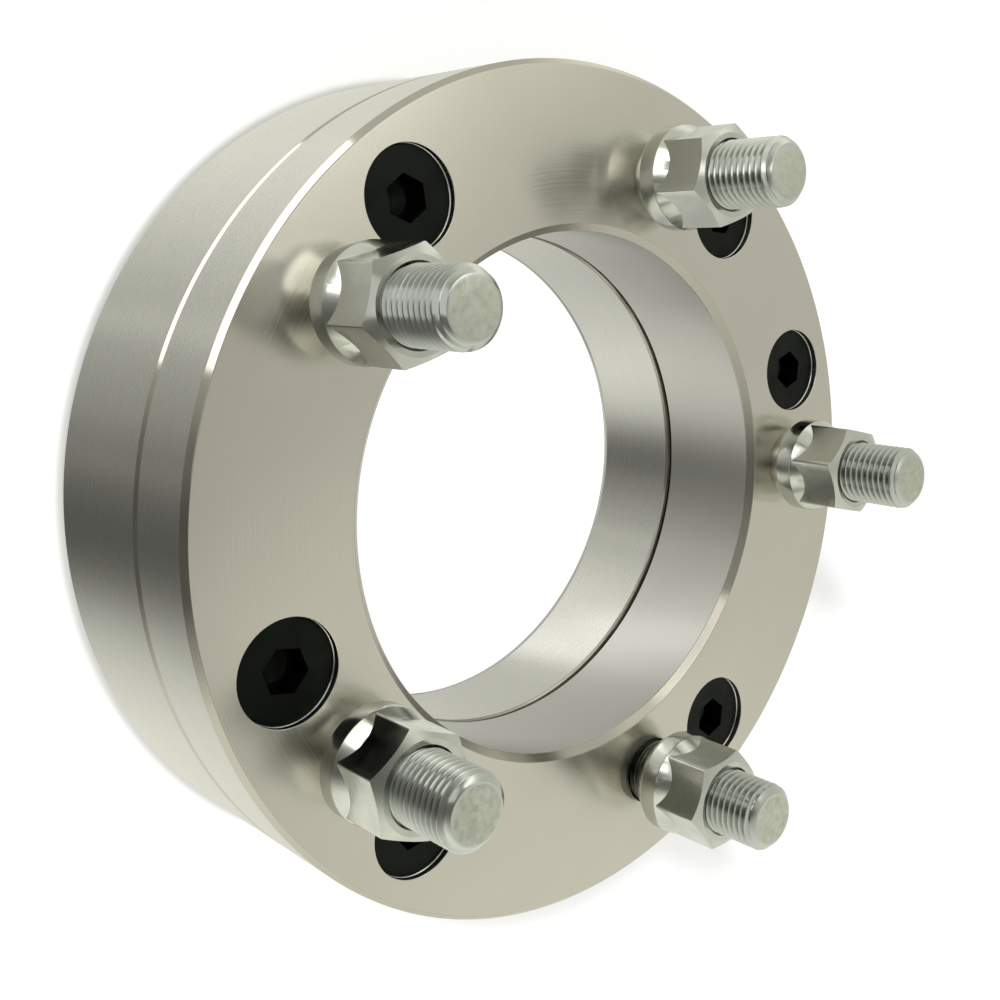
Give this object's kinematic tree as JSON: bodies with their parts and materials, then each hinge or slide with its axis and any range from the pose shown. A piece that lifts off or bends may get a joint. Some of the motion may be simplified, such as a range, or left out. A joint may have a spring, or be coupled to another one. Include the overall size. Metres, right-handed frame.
{
  "type": "wheel spacer",
  "caption": "Split round wheel spacer of machined aluminium plates joined by countersunk screws, with a wide centre bore and threaded wheel studs that carry lug nuts.",
  "frame": {"origin": "centre of the hub face, on the axis of the bore", "axes": "+Z along the axis from the hub face to the wheel face and the studs, +X through a wheel stud"},
  "size_m": [0.1778, 0.1778, 0.0858],
  "materials": {
    "plate_aluminium": "fine turned, bare",
    "stud_zinc": "zinc plated, threaded",
    "nut_zinc": "bright zinc plated",
    "screw_black": "black oxide, satin"
  },
  "bodies": {
    "root": {"hub_plate": "plate_aluminium", "wheel_plate": "plate_aluminium", "wheel_stud_1": "stud_zinc", "wheel_stud_2": "stud_zinc", "wheel_stud_3": "stud_zinc", "wheel_stud_4": "stud_zinc", "wheel_stud_5": "stud_zinc", "lug_nut_1": "nut_zinc", "lug_nut_2": "nut_zinc", "lug_nut_3": "nut_zinc", "lug_nut_4": "nut_zinc", "lug_nut_5": "nut_zinc", "screw_1": "screw_black", "screw_2": "screw_black", "screw_3": "screw_black", "screw_4": "screw_black", "screw_5": "screw_black", "screw_6": "screw_black"}
  },
  "joints": []
}
